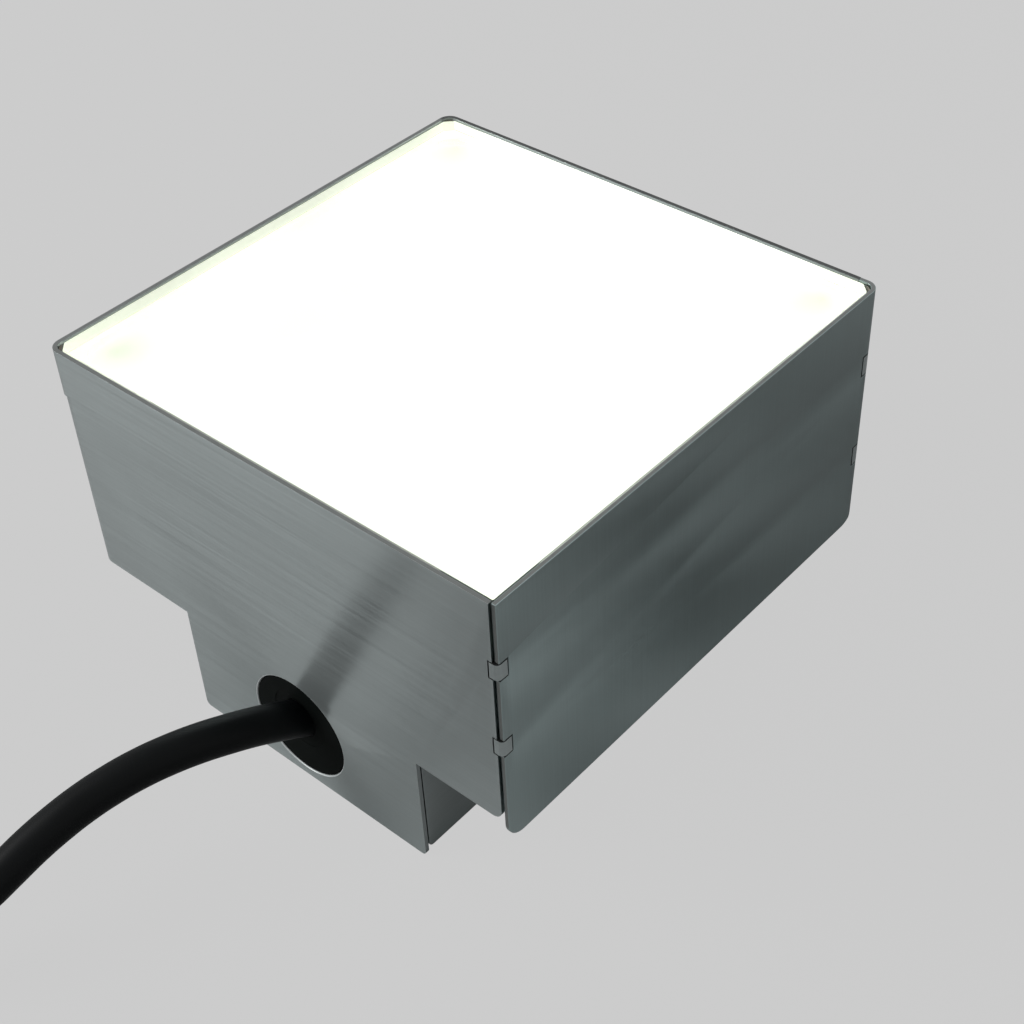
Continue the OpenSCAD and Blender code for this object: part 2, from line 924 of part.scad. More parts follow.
module tube(route, diameter, sides) {
    last = len(route) - 1;
    points = [for (i = [0 : last]) each ring(route, i, diameter / 2, sides)];
    walls = [
        for (i = [0 : last - 1], k = [0 : sides - 1])
            let (n = (k + 1) % sides)
            each [
                [i * sides + k, i * sides + n, (i + 1) * sides + n],
                [i * sides + k, (i + 1) * sides + n, (i + 1) * sides + k]
            ]
    ];
    first_cap = [for (k = [sides - 1 : -1 : 0]) k];
    last_cap = [for (k = [0 : sides - 1]) last * sides + k];
    polyhedron(points = points, faces = concat([first_cap], walls, [last_cap]));
}

module cable() {
    color("#161919") tube(cable_route, cable_d, 12);
}

// Outer shape of the coiled length, with the straight ends that run into it
module cable_coil() {
    color("#161919")
    difference() {
        union() {
            translate([coil_x, coil_y, 0])
                rotate_extrude()
                    translate([coil_inner_r, 0])
                        square([coil_outer_r - coil_inner_r, coil_h]);
            translate([coil_x - coil_outer_r, coil_y, 0])
                cube([cable_d, lead_in_l, cable_d]);
            translate([coil_x - coil_outer_r, coil_y - lead_in_l, coil_h - cable_d])
                cube([cable_d, lead_in_l, cable_d]);
        }
        tie_sweep(tie_angle + 2 * tie_side_gap_angle)
            translate([coil_inner_r - cut, -cut])
                square([coil_outer_r - coil_inner_r + 2 * cut, tie_t + cut]);
    }
}

// Turns a section round part of the coil, where the tie sits
module tie_sweep(angle) {
    translate([coil_x, coil_y, 0])
        rotate([0, 0, tie_turn - angle / 2])
            rotate_extrude(angle = angle)
                children();
}

// Strap round all the turns
module coil_tie() {
    color("#2b2e2e")
    tie_sweep(tie_angle)
        difference() {
            translate([coil_inner_r - tie_t, 0])
                square([coil_outer_r - coil_inner_r + 2 * tie_t, coil_h + tie_t]);
            translate([coil_inner_r, tie_t])
                square([coil_outer_r - coil_inner_r, coil_h - tie_t]);
        }
}

module cable_tail() {
    color("#161919") tube(tail_route, cable_d, 12);
}

// Route of one core, straight out of the end of the sheath
function core_route(i) =
    let (
        last = len(tail_route) - 1,
        dir = way(tail_route, last),
        across = side_of(dir),
        place = core_ring_r * (cos(core_turns[i]) * across + sin(core_turns[i]) * cross(across, dir)),
        first = tail_route[last] + place
    )
    concat([first, first + core_straight_l * dir], core_points[i]);

module cable_cores() {
    color("#7a5238")
    for (i = [0 : len(core_points) - 1])
        tube(core_route(i), core_d, 8);
}

// Crimped sleeves on the core ends
module core_ferrules() {
    color("#c3c6c6")
    for (i = [0 : len(core_points) - 1]) {
        route = core_route(i);
        last = len(route) - 1;
        dir = way(route, last);
        tube([route[last], route[last] + ferrule_l * dir], ferrule_d, 12);
    }
}

wrap_sheet();
side_plate();
foot_plate_left();
foot_plate_right();
front_corner_bracket();
rear_corner_bracket();
glass();
edge_sealant();
glass_corner_pads();
glass_gasket();
light_frame();
diffuser();
reflector_tray();
led_board();
leds();
board_screws();
heat_plate();
housing_tub();
housing_foot();
potting_resin();
cable_seal();
seal_collar();
inner_lead();
inner_cores();
terminal_block();
driver_board();
transformer();
capacitors();
driver_chips();
led_leads();
cable();
cable_coil();
cable_tail();
cable_cores();
core_ferrules();
coil_tie();
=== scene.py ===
import math
import bpy
from mathutils import Matrix, Vector


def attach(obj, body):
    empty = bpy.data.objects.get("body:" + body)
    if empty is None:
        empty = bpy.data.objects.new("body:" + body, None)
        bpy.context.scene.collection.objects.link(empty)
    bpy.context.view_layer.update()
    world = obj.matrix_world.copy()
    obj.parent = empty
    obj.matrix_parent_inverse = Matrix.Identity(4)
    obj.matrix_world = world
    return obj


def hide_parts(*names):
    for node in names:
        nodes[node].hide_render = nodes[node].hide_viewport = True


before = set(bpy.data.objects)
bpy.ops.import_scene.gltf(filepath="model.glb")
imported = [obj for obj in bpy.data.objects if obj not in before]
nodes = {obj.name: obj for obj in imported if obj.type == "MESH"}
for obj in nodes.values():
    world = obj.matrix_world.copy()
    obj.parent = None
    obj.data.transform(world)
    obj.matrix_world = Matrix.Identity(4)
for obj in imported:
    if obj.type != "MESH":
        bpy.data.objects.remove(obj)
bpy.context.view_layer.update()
mm = 0.001

# the photograph's point of view, worked out from the shell's corners and edges
view = {
    "place": (0.166537, -0.171233, 0.235401),
    "azimuth": 42.811,
    "elevation": 41.195,
    "roll": -2.951,
    "lens": 61.304,
    "sensor": 36,
    "nearest": 0.01,
}


def pickOnly(piece):
    bpy.ops.object.select_all(action="DESELECT")
    piece.select_set(True)
    bpy.context.view_layer.objects.active = piece


def placeCamera():
    bpy.ops.object.select_all(action="DESELECT")
    bpy.ops.object.camera_add()
    camera = bpy.context.active_object
    camera.name = "photoCamera"
    camera.data.sensor_width = view["sensor"]
    camera.data.lens = view["lens"]
    camera.data.clip_start = view["nearest"]
    turn = (
        Matrix.Rotation(math.radians(view["azimuth"]), 4, "Z")
        @ Matrix.Rotation(math.radians(90 - view["elevation"]), 4, "X")
        @ Matrix.Rotation(math.radians(view["roll"]), 4, "Z")
    )
    camera.matrix_world = Matrix.Translation(view["place"]) @ turn
    bpy.context.scene.camera = camera


placeCamera()
print("camera placed")


# building blocks for materials

def newGroup(name, inputs, outputs):
    group = bpy.data.node_groups.new(name, "ShaderNodeTree")
    for label, kind, value in inputs:
        socket = group.interface.new_socket(name=label, in_out="INPUT", socket_type="NodeSocket" + kind)
        socket.default_value = value
    for label, kind in outputs:
        group.interface.new_socket(name=label, in_out="OUTPUT", socket_type="NodeSocket" + kind)
    return group, group.nodes.new("NodeGroupInput"), group.nodes.new("NodeGroupOutput")


def addNode(tree, kind, values=(), **settings):
    node = tree.nodes.new("ShaderNode" + kind)
    for key, value in settings.items():
        setattr(node, key, value)
    for socket, value in dict(values).items():
        if isinstance(value, bpy.types.NodeSocket):
            tree.links.new(value, node.inputs[socket])
        else:
            node.inputs[socket].default_value = value
    return node


def mixColor(tree, factor, first, second, blend="MIX"):
    node = addNode(tree, "Mix", data_type="RGBA", blend_type=blend)
    for socket, value in ((0, factor), (6, first), (7, second)):
        if isinstance(value, bpy.types.NodeSocket):
            tree.links.new(value, node.inputs[socket])
        else:
            node.inputs[socket].default_value = value
    return node.outputs[2]


def addNoise(tree, place, scale, detail, roughness=0.5):
    values = {"Vector": place, "Scale": scale, "Detail": detail, "Roughness": roughness}
    return addNode(tree, "TexNoise", values).outputs["Fac"]


def calculate(tree, operation, first, second=0.5, clamp=False):
    return addNode(tree, "Math", {0: first, 1: second}, operation=operation, use_clamp=clamp).outputs[0]


# by default from the range that a noise pattern mostly covers
def stretchRange(tree, value, low, high, fromLow=0.3, fromHigh=0.7):
    values = {"Value": value, "From Min": fromLow, "From Max": fromHigh, "To Min": low, "To Max": high}
    return addNode(tree, "MapRange", values).outputs["Result"]


# brushed steel: how far the lines change its tone and gloss, and the shares of fine and broad lines
brushing = {
    "contrast": 0.035,
    "roughness": 0.3,
    "spread": 0.015,
    "anisotropy": 0.9,
    "relief": 0.01,
    "depth": 0.01,
    "fineShare": 0.92,
    "broadShare": 0.08,
    "broadScale": 0.21,
    "patchScale": 22,
    "patchShare": 0.5,
}


# fine lines along one direction, with broad soft patches
def makeBrushedGroup():
    group, given, result = newGroup(
        "brushedGrain",
        [
            ("Stretch", "Vector", (25, 25, 3200)),
            ("Color", "Color", (0.4, 0.445, 0.445, 1)),
            ("Contrast", "Float", brushing["contrast"]),
            ("Roughness", "Float", brushing["roughness"]),
            ("Roughness Spread", "Float", brushing["spread"]),
        ],
        [("Color", "Color"), ("Roughness", "Float"), ("Height", "Float")],
    )
    place = addNode(group, "TexCoord").outputs["Object"]
    lines = addNode(
        group, "VectorMath", {0: place, 1: given.outputs["Stretch"]}, operation="MULTIPLY"
    ).outputs[0]
    broad = addNode(
        group, "VectorMath", {0: lines, "Scale": brushing["broadScale"]}, operation="SCALE"
    ).outputs[0]
    fineLines = addNoise(group, lines, 1, 3, 0.6)
    broadLines = addNoise(group, broad, 1, 2)
    patches = addNoise(group, place, brushing["patchScale"], 3)
    streaks = calculate(group, "MULTIPLY", fineLines, brushing["fineShare"])
    broadPart = calculate(group, "MULTIPLY", broadLines, brushing["broadShare"])
    streaks = calculate(group, "ADD", streaks, broadPart)
    centred = stretchRange(group, streaks, -1, 1, 0.35, 0.65)
    soft = stretchRange(group, patches, -1, 1)
    change = calculate(group, "ADD", centred, calculate(group, "MULTIPLY", soft, brushing["patchShare"]))
    gain = calculate(group, "ADD", calculate(group, "MULTIPLY", change, given.outputs["Contrast"]), 1)
    tone = addNode(
        group, "VectorMath", {0: given.outputs["Color"], "Scale": gain}, operation="SCALE"
    ).outputs[0]
    rough = calculate(group, "MULTIPLY", centred, given.outputs["Roughness Spread"])
    rough = calculate(group, "ADD", rough, given.outputs["Roughness"], clamp=True)
    group.links.new(tone, result.inputs["Color"])
    group.links.new(rough, result.inputs["Roughness"])
    group.links.new(streaks, result.inputs["Height"])
    return group


# even grain of a moulded or cast surface, with slight mottling
def makeGrainGroup():
    group, given, result = newGroup(
        "mouldedGrain",
        [
            ("Color", "Color", (0.5, 0.5, 0.5, 1)),
            ("Second Color", "Color", (0.45, 0.45, 0.45, 1)),
            ("Grain", "Float", 2500),
            ("Mottle", "Float", 60),
            ("Roughness", "Float", 0.5),
            ("Roughness Spread", "Float", 0.08),
        ],
        [("Color", "Color"), ("Roughness", "Float"), ("Height", "Float")],
    )
    place = addNode(group, "TexCoord").outputs["Object"]
    grain = addNoise(group, place, given.outputs["Grain"], 2)
    mottle = addNoise(group, place, given.outputs["Mottle"], 4)
    spread = stretchRange(group, mottle, 0, 1)
    tone = mixColor(group, spread, given.outputs["Color"], given.outputs["Second Color"])
    change = stretchRange(group, mottle, -1, 1)
    rough = calculate(group, "MULTIPLY", change, given.outputs["Roughness Spread"])
    rough = calculate(group, "ADD", rough, given.outputs["Roughness"], clamp=True)
    group.links.new(tone, result.inputs["Color"])
    group.links.new(rough, result.inputs["Roughness"])
    group.links.new(grain, result.inputs["Height"])
    return group


brushedGroup = makeBrushedGroup()
grainGroup = makeGrainGroup()


def newMaterial(name, group, values, bump, depth, **shaderValues):
    material = bpy.data.materials.new(name)
    material.use_nodes = True
    tree = material.node_tree
    shader = tree.nodes["Principled BSDF"]
    pattern = tree.nodes.new("ShaderNodeGroup")
    pattern.node_tree = group
    for socket, value in values.items():
        pattern.inputs[socket].default_value = value
    tree.links.new(pattern.outputs["Color"], shader.inputs["Base Color"])
    if pattern.outputs.get("Roughness"):
        tree.links.new(pattern.outputs["Roughness"], shader.inputs["Roughness"])
    height = pattern.outputs["Height"]
    relief = addNode(tree, "Bump", {"Strength": bump, "Distance": depth, "Height": height})
    tree.links.new(relief.outputs["Normal"], shader.inputs["Normal"])
    for socket, value in shaderValues.items():
        shader.inputs[socket.replace("_", " ")].default_value = value
    return material


# the group's own values give the brushing, apart from the direction and the tone
def steel(name, stretch, tangent, color):
    values = {"Stretch": stretch, "Color": (*color, 1)}
    shine = {"Metallic": 1, "Anisotropic": brushing["anisotropy"]}
    depth = brushing["depth"] * mm
    material = newMaterial(name, brushedGroup, values, brushing["relief"], depth, **shine)
    tree = material.node_tree
    way = addNode(tree, "CombineXYZ", {"X": tangent[0], "Y": tangent[1], "Z": tangent[2]}).outputs[0]
    tree.links.new(way, tree.nodes["Principled BSDF"].inputs["Tangent"])
    return material


# the second colour is a little darker than the first, unless it is given
def moulded(
    name,
    color,
    second=None,
    roughness=0.5,
    spread=0.08,
    grain=2500,
    mottle=60,
    bump=0.1,
    depth=0.05,
    **shaderValues,
):
    values = {
        "Color": (*color, 1),
        "Second Color": (*(second or [0.85 * c for c in color]), 1),
        "Grain": grain,
        "Mottle": mottle,
        "Roughness": roughness,
        "Roughness Spread": spread,
    }
    return newMaterial(name, grainGroup, values, bump, depth * mm, **shaderValues)


def give(piece, *materials):
    piece.data.materials.clear()
    for material in materials:
        piece.data.materials.append(material)


# sheets and mouldings: the construction's own shapes, with their sharp edges eased
easing = {"merge": 0.002, "flatAngle": 0.5, "sharpAngle": 40, "smoothAngle": 20, "segments": 2}


def easedCopy(nodeName, name, width, material, reshape=None):
    piece = bpy.data.objects.new(name, nodes[nodeName].data.copy())
    bpy.context.scene.collection.objects.link(piece)
    pickOnly(piece)
    bpy.ops.object.mode_set(mode="EDIT")
    bpy.ops.mesh.select_all(action="SELECT")
    bpy.ops.mesh.remove_doubles(threshold=easing["merge"] * mm)
    bpy.ops.mesh.dissolve_limited(angle_limit=math.radians(easing["flatAngle"]))
    bpy.ops.object.mode_set(mode="OBJECT")
    if reshape:
        reshape(piece)
    edges = piece.modifiers.new("Edges", "BEVEL")
    edges.width = width * mm
    edges.segments = easing["segments"]
    edges.limit_method = "ANGLE"
    edges.angle_limit = math.radians(easing["sharpAngle"])
    bpy.ops.object.modifier_apply(modifier=edges.name)
    bpy.ops.object.shade_smooth_by_angle(angle=math.radians(easing["smoothAngle"]))
    give(piece, material)
    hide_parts(nodeName)
    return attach(piece, "root")


# the cable: its route in millimetres, out of the seal, along the ground and into a coil
cable = {
    "diameter": 6.7,
    "exit": (1.5, -48.6, 14.4),
    "exitTurn": 3,
    "exitRise": 33,
    "exitDepth": 3,
    "points": [
        (1.15, -53, 16.95), (0.3, -57.55, 19), (-0.9, -62.3, 20.45), (-2.4, -67.05, 21.35),
        (-4.1, -71.85, 21.6), (-5.75, -76.65, 21.4), (-7.25, -81.45, 20.75), (-8.6, -86.25, 19.7),
        (-9.65, -91.05, 18.4), (-10.5, -95.85, 16.85), (-11.05, -100.6, 15.2), (-11.7, -105.35, 13.45),
        (-12.9, -109.95, 11.7), (-14.65, -114.4, 9.95), (-16.9, -118.65, 8.3), (-19.55, -122.7, 6.75),
        (-22.4, -126.7, 5.4), (-25.25, -130.75, 4.35), (-27.9, -135.05, 3.65), (-30.15, -139.6, 3.35),
        (-31.75, -144.45, 3.35), (-32.7, -149.4, 3.35),
    ],
    "coilCentre": (8.5, -180),
    "coilRadius": 41.5,
    "layerTurns": 2,
    "play": 0.1,
    "leadIn": 24,
    "climb": 0.12,
    "pointsPerTurn": 16,
    "tailPoints": [
        (-33, -209, 8.8), (-33.1, -213, 6.6), (-33.5, -217, 4.8), (-34.2, -221, 3.7),
        (-35, -224.5, 3.35), (-35.7, -227.5, 3.35),
    ],
    "length": 1.069,
}


def coilPoints():
    centreX, centreY = cable["coilCentre"]
    diameter = cable["diameter"]
    turns = 2 * cable["layerTurns"]
    steps = round(turns * cable["pointsPerTurn"])
    points = []
    for step in range(steps + 1):
        turn = turns * step / steps
        inward = min(turn, turns - turn)
        radius = cable["coilRadius"] - inward * (diameter + cable["play"])
        rise = (turn - cable["layerTurns"]) / (2 * cable["climb"]) + 0.5
        rise = min(max(rise, 0), 1)
        height = diameter / 2 + diameter * rise * rise * (3 - 2 * rise)
        angle = 2 * math.pi * (turn + 0.5)
        points.append((centreX + radius * math.cos(angle), centreY + radius * math.sin(angle), height))
    return points


def cableRoute():
    turn = math.radians(cable["exitTurn"])
    rise = math.radians(cable["exitRise"])
    way = Vector((-math.sin(turn) * math.cos(rise), -math.cos(turn) * math.cos(rise), math.sin(rise)))
    start = Vector(cable["exit"]) - cable["exitDepth"] * way
    coil = coilPoints()
    leadIn = [(coil[0][0], coil[0][1] + part * cable["leadIn"], coil[0][2]) for part in (1, 0.5)]
    leadOut = [(coil[-1][0], coil[-1][1] - part * cable["leadIn"], coil[-1][2]) for part in (0.5, 1)]
    points = [start, cable["exit"], *cable["points"], *leadIn, *coil, *leadOut, *cable["tailPoints"]]
    return [Vector(point) * mm for point in points]


def cordCurve(name, points, diameter, steps=4, sides=8):
    curve = bpy.data.curves.new(name, "CURVE")
    curve.dimensions = "3D"
    curve.resolution_u = steps
    curve.bevel_depth = 1  # each knot's radius gives the thickness
    curve.bevel_resolution = sides
    curve.use_fill_caps = True
    spline = curve.splines.new("BEZIER")
    spline.bezier_points.add(len(points) - 1)
    for knot, point in zip(spline.bezier_points, points):
        knot.co = point
        knot.radius = diameter / 2
        knot.handle_left_type = "AUTO"
        knot.handle_right_type = "AUTO"
    piece = bpy.data.objects.new(name, curve)
    bpy.context.scene.collection.objects.link(piece)
    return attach(piece, "root")


# the three cores that come out of the sheath, each splayed a little, with a crimped end sleeve
cores = {
    "diameter": 2.3,
    "ringRadius": 1.4,
    "straight": 3,
    "inside": 2,
    "steps": 8,
    "sides": 5,
    "stripeSide": 0.35,
    "turns": (30, 270, 150),
    "names": ("Brown", "Blue", "Earth"),
    "points": (
        ((-39.4, -235, 2.4), (-42.6, -240, 1.2), (-45, -245, 1.45)),
        ((-37, -235.5, 1.2), (-38.1, -241.5, 1.2), (-38.6, -247, 1.45)),
        ((-34.6, -235.5, 2.4), (-33.2, -241, 1.2), (-31.4, -246.2, 1.45)),
    ),
}


def coreRoutes(cableEnd, way):
    across = way.cross(Vector((0, 0, 1))).normalized()
    routes = []
    for turn, points in zip(cores["turns"], cores["points"]):
        angle = math.radians(turn)
        outward = math.cos(angle) * across + math.sin(angle) * across.cross(way)
        first = cableEnd + cores["ringRadius"] * mm * outward
        inside = first - cores["inside"] * mm * way
        out = first + cores["straight"] * mm * way
        routes.append([inside, first, out] + [Vector(point) * mm for point in points])
    return routes


# crimped end sleeve: a bare tube pressed in ribs, with a flared plastic collar over the core
sleeve = {
    "length": 8,
    "tubeRadius": 0.95,
    "collarRadius": 1.3,
    "collarAhead": 2,
    "collarBehind": 3.2,
    "flare": 1.1,
    "mouth": 0.86,
    "ribs": 4,
    "plainEnd": 0.6,
    "press": 0.84,
    "tubeSides": 20,
    "collarSides": 24,
    "tubeBevel": 0.08,
    "collarBevel": 0.15,
    "segments": 2,
    "smoothAngle": 30,
    "near": 0.05,
}


def addTube(radius, low, high, sides):
    bpy.ops.object.select_all(action="DESELECT")
    middle = (0, 0, (low + high) / 2 * mm)
    bpy.ops.mesh.primitive_cylinder_add(
        vertices=sides, radius=radius * mm, depth=(high - low) * mm, location=middle
    )
    bpy.ops.object.transform_apply()
    bpy.ops.object.mode_set(mode="EDIT")
    return bpy.context.active_object


def selectRing(piece, height):
    bpy.ops.object.mode_set(mode="OBJECT")
    for polygon in piece.data.polygons:
        polygon.select = False
    for edge in piece.data.edges:
        edge.select = False
    for vertex in piece.data.vertices:
        vertex.select = abs(vertex.co.z / mm - height) < sleeve["near"]
    bpy.ops.object.mode_set(mode="EDIT")
    bpy.ops.mesh.select_mode(type="VERT")


def finishPiece(piece, name, place, bevel):
    bpy.ops.object.mode_set(mode="OBJECT")
    pickOnly(piece)
    piece.name = name
    edges = piece.modifiers.new("Edges", "BEVEL")
    edges.width = bevel * mm
    edges.segments = sleeve["segments"]
    edges.limit_method = "ANGLE"
    bpy.ops.object.modifier_apply(modifier=edges.name)
    bpy.ops.object.shade_smooth_by_angle(angle=math.radians(sleeve["smoothAngle"]))
    piece.matrix_world = place
    bpy.ops.object.transform_apply()
    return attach(piece, "root")


def crimpedTube(name, place):
    low, high = 0, sleeve["length"]
    tube = addTube(sleeve["tubeRadius"], low, high, sleeve["tubeSides"])
    first = sleeve["collarAhead"] + sleeve["plainEnd"]
    pitch = (high - sleeve["plainEnd"] - first) / (2 * sleeve["ribs"])
    for cut in range(2 * sleeve["ribs"] + 1):
        bpy.ops.mesh.select_all(action="SELECT")
        bpy.ops.mesh.bisect(plane_co=(0, 0, (first + cut * pitch) * mm), plane_no=(0, 0, 1))
    for rib in range(sleeve["ribs"]):
        selectRing(tube, first + (2 * rib + 1) * pitch)
        bpy.ops.transform.resize(value=(sleeve["press"], sleeve["press"] ** 2, 1))
    return finishPiece(tube, name, place, sleeve["tubeBevel"])


def flaredCollar(name, place):
    low = -sleeve["collarBehind"]
    collar = addTube(sleeve["collarRadius"], low, sleeve["collarAhead"], sleeve["collarSides"])
    bpy.ops.mesh.select_all(action="SELECT")
    bpy.ops.mesh.bisect(plane_co=(0, 0, 0), plane_no=(0, 0, 1))
    selectRing(collar, low)
    bpy.ops.transform.resize(value=(sleeve["flare"], sleeve["flare"], 1))
    selectRing(collar, sleeve["collarAhead"])
    bpy.ops.transform.resize(value=(sleeve["mouth"], sleeve["mouth"], 1))
    return finishPiece(collar, name, place, sleeve["collarBevel"])


def layCable():
    route = cableRoute()
    sheath = cordCurve("cableSheath", route, cable["diameter"] * mm)
    give(sheath, cableRubber())
    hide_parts("cable", "cable_coil", "cable_tail")
    onCable = [makeTie()]
    way = (route[-1] - route[-2]).normalized()
    for name, path in zip(cores["names"], coreRoutes(route[-1], way)):
        core = cordCurve("core" + name, path, cores["diameter"] * mm, cores["steps"], cores["sides"])
        give(core, coreInsulation(name))
        if name == "Earth":
            core = stripedCore(core)
        along = (path[-1] - path[-2]).normalized()
        place = Matrix.Translation(path[-1]) @ along.to_track_quat("Z", "Y").to_matrix().to_4x4()
        tube = crimpedTube("sleeve" + name, place)
        give(tube, tinnedCopper)
        collar = flaredCollar("collar" + name, place)
        give(collar, collarPlastic)
        onCable += [core, tube, collar]
    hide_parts("cable_cores")
    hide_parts("core_ferrules")


def cableRubber():
    look = {
        "color": (0.003, 0.004, 0.0042),
        "second": (0.0045, 0.0055, 0.006),
        "roughness": 0.45,
        "spread": 0.06,
        "grain": 1800,
        "mottle": 90,
        "bump": 0.12,
        "Specular_IOR_Level": 0.12,
    }
    return moulded("cableRubber", **look)


coreColors = {
    "Brown": (0.11, 0.035, 0.015),
    "Blue": (0.02, 0.12, 0.42),
    "Earth": (0.05, 0.3, 0.03),
    "Stripe": (0.75, 0.6, 0.02),
}


def coreInsulation(name):
    return moulded("core" + name, coreColors[name], roughness=0.35, spread=0.05)


# green core with a yellow stripe: a mesh whose faces towards one side are yellow
def stripedCore(core):
    pickOnly(core)
    bpy.ops.object.convert(target="MESH")
    piece = bpy.context.active_object
    piece.data.materials.append(coreInsulation("Stripe"))
    for polygon in piece.data.polygons:
        polygon.use_smooth = True
        if polygon.normal.x > cores["stripeSide"]:
            polygon.material_index = 1
    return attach(piece, "root")


# flat woven strap round the coil, turned about the upright axis with its weave
tie = {"turn": 20, "edge": 0.3, "threads": 1400, "roughness": 0.85, "relief": 0.6, "depth": 0.1}


def wovenCloth():
    group, given, result = newGroup(
        "wovenCloth",
        [
            ("Color", "Color", (0.03, 0.032, 0.032, 1)),
            ("Gap Color", "Color", (0.008, 0.009, 0.009, 1)),
            ("Threads", "Float", tie["threads"]),
        ],
        [("Color", "Color"), ("Height", "Float")],
    )
    place = addNode(group, "TexCoord").outputs["Object"]
    turned = addNode(
        group, "Mapping", {"Vector": place, "Rotation": (0, 0, -math.radians(tie["turn"]))}
    ).outputs["Vector"]
    split = addNode(group, "SeparateXYZ", {0: turned})
    waves = []
    for axis in ("X", "Y", "Z"):
        angle = calculate(group, "MULTIPLY", split.outputs[axis], given.outputs["Threads"])
        waves.append(calculate(group, "SINE", angle))
    across = calculate(group, "MULTIPLY", waves[1], calculate(group, "ADD", waves[0], waves[2]))
    height = stretchRange(group, across, 0, 1, -0.8, 0.8)
    tone = mixColor(group, height, given.outputs["Gap Color"], given.outputs["Color"])
    group.links.new(tone, result.inputs["Color"])
    group.links.new(height, result.inputs["Height"])
    depth = tie["depth"] * mm
    return newMaterial("tieFabric", group, {}, tie["relief"], depth, Roughness=tie["roughness"])


def makeTie():
    return easedCopy("coil_tie", "coilTie", tie["edge"], wovenCloth())


tinnedCopper = moulded("tinnedCopper", (0.62, 0.62, 0.6), roughness=0.28, Metallic=1)
collarPlastic = moulded("collarPlastic", (0.5, 0.06, 0.03), roughness=0.4)

layCable()
print("cable laid")


# the steel sheets: the side plate is brushed upright, and all others level
steelTone = (0.4, 0.445, 0.445)
sideTone = (0.375, 0.455, 0.455)
level = {"stretch": (25, 25, 3200), "tangent": (0.02, 0.03, 1), "color": steelTone}
upright = {"stretch": (3200, 3200, 25), "tangent": (0.7, 0.7, 0.02), "color": sideTone}
sheets = {
    "foldedShell": {"node": "wrap_sheet", "edge": 0.18, "brushed": level},
    "sidePanel": {"node": "side_plate", "edge": 0.1, "brushed": upright},
    "footPanelLeft": {"node": "foot_plate_left", "edge": 0.1, "brushed": level},
    "footPanelRight": {"node": "foot_plate_right", "edge": 0.1, "brushed": level},
    "frontBracket": {"node": "front_corner_bracket", "edge": 0.05, "brushed": level},
    "rearBracket": {"node": "rear_corner_bracket", "edge": 0.05, "brushed": level},
}

# the cut edge along the top and down the seam is duller than the brushed face; the rear rim is darker
# still, which is painted shade, the pale ring round the hole is a painted highlight, and the narrow slots
# round the bridges are dark inside with painted shade
cutEdges = {
    "rimTone": (0.27, 0.285, 0.28),
    "rearRimShadeTone": (0.13, 0.137, 0.135),
    "holeHighlightTone": (0.8, 0.85, 0.85),
    "slotShadeTone": (0.012, 0.014, 0.014),
    "top": 70,
    "front": -49,
    "corner": 44,
    "near": 0.05,
    "flat": 0.985,
    "holeCentre": (1.2, 12.3),
    "holeRadius": 10.5,
    "holeEdge": 0.2,
    "holeSteps": 3,
    "seamY": -48.65,
    "frontSlots": ((54.85, 58.45), (38.65, 42.25)),
    "rearSlots": ((52.75, 57.05), (32.95, 37.25)),
    "slotMargin": 0.3,
    "slotFacing": 0.65,
    "rearEnd": 0.02,
    "rearClosing": 0.25,
    "rearEdgeY": 46.5,
}


def fromHole(place):
    holeX, holeZ = cutEdges["holeCentre"]
    return math.hypot(place.x - holeX, place.z - holeZ) - cutEdges["holeRadius"]


# a cut across the sheet parts its rear edge from the others so that the rear rim can take painted shade,
# and the cable hole gets a ground chamfer
def shapeShell(piece):
    bpy.ops.object.mode_set(mode="EDIT")
    bpy.ops.mesh.select_all(action="SELECT")
    bpy.ops.mesh.bisect(plane_co=(0, cutEdges["rearEdgeY"] * mm, 0), plane_no=(0, 1, 0))
    bpy.ops.object.mode_set(mode="OBJECT")
    onRim = []
    for vertex in piece.data.vertices:
        place = vertex.co / mm
        onFront = abs(place.y - cutEdges["front"]) < cutEdges["near"]
        onRim.append(onFront and abs(fromHole(place)) < cutEdges["near"])
    for polygon in piece.data.polygons:
        polygon.select = False
    for vertex in piece.data.vertices:
        vertex.select = False
    for edge in piece.data.edges:
        edge.select = all(onRim[corner] for corner in edge.vertices)
    bpy.ops.object.mode_set(mode="EDIT")
    bpy.ops.mesh.select_mode(type="EDGE")
    width = cutEdges["holeEdge"] * mm
    bpy.ops.mesh.bevel(offset=width, segments=cutEdges["holeSteps"], affect="EDGES")
    bpy.ops.object.mode_set(mode="OBJECT")


# the plate's rear return meets the folded sheet with a hairline joint
def closeRearJoint(piece):
    end = min(vertex.co.x for vertex in piece.data.vertices)
    for vertex in piece.data.vertices:
        if vertex.co.x < end + cutEdges["rearEnd"] * mm:
            vertex.co.x -= cutEdges["rearClosing"] * mm


def isTop(place, normal):
    return normal.z > cutEdges["flat"] and abs(place.z - cutEdges["top"]) < cutEdges["near"]


def isSeam(place, normal):
    atSeam = place.x > cutEdges["corner"] and abs(place.y - cutEdges["seamY"]) < cutEdges["near"]
    return atSeam and normal.y < -cutEdges["flat"]


# faces of the hole's chamfer, which carry the painted highlight
def isHole(place, normal):
    near = cutEdges["near"]
    onEdge = -near < fromHole(place) < cutEdges["holeEdge"] + near
    return place.y < -cutEdges["corner"] and onEdge and abs(normal.y) < cutEdges["flat"]


# faces inside the slots round the bridges, which carry painted shade
def isSlot(place, normal):
    side = 1 if place.y > 0 else -1
    if place.x < cutEdges["corner"] or side * place.y < cutEdges["corner"]:
        return False
    slots = cutEdges["rearSlots" if side > 0 else "frontSlots"]
    margin = cutEdges["slotMargin"]
    atSlot = any(low - margin < place.z < high + margin for low, high in slots)
    return atSlot and max(normal.x, side * normal.y) < cutEdges["slotFacing"]


